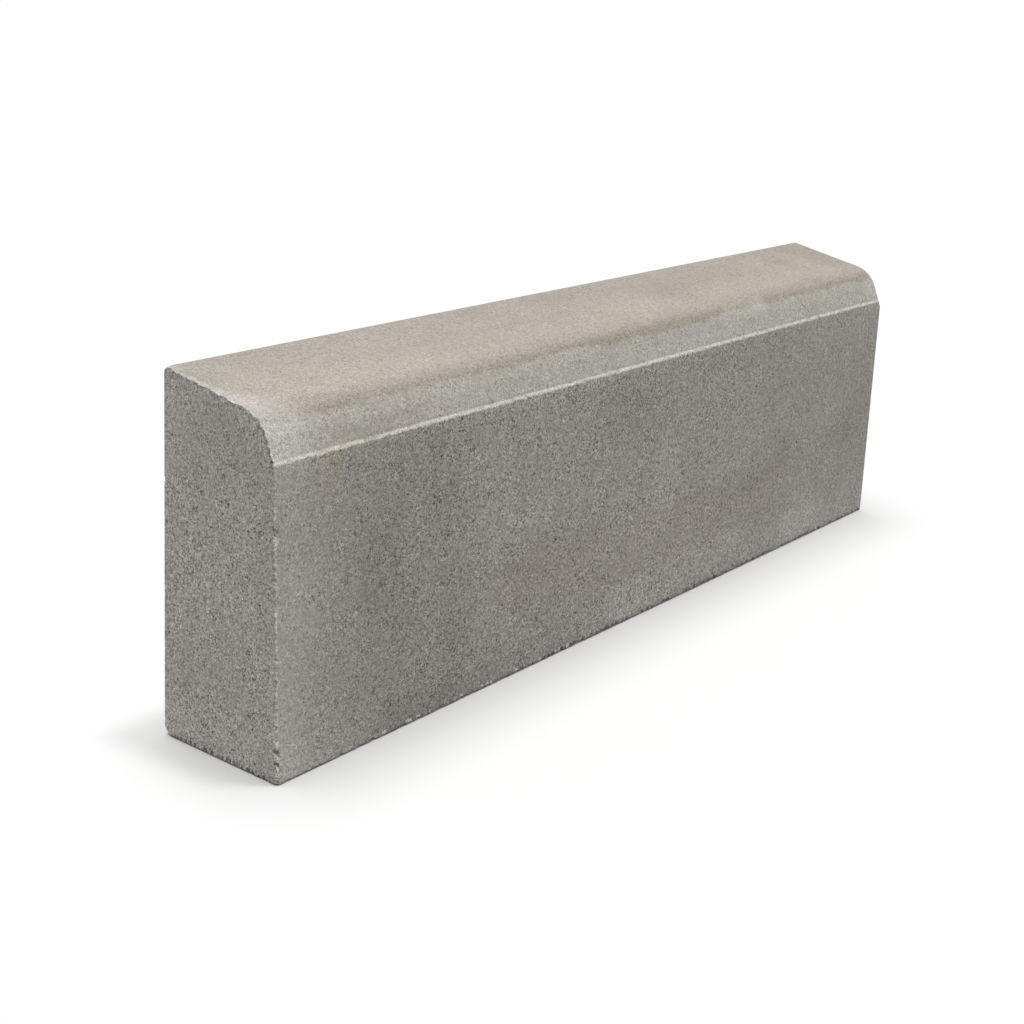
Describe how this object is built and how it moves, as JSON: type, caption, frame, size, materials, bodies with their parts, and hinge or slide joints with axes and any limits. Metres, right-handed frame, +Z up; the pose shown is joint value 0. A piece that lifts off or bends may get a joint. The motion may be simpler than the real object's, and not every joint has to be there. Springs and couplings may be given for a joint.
{
  "type": "kerb stone",
  "caption": "Precast concrete kerb stone with a sloped top, rounded nose, bevel and narrow ledge above a slightly leaning road face.",
  "frame": {"origin": "middle of the bedding face, on the floor", "axes": "+X along the stone, -Y towards the road side with the nose and the ledge, +Z up"},
  "size_m": [1, 0.1299, 0.3096],
  "materials": {
    "concrete": "matt cast concrete, sandy grain"
  },
  "bodies": {
    "root": {"kerb_stone": "concrete"}
  },
  "joints": []
}
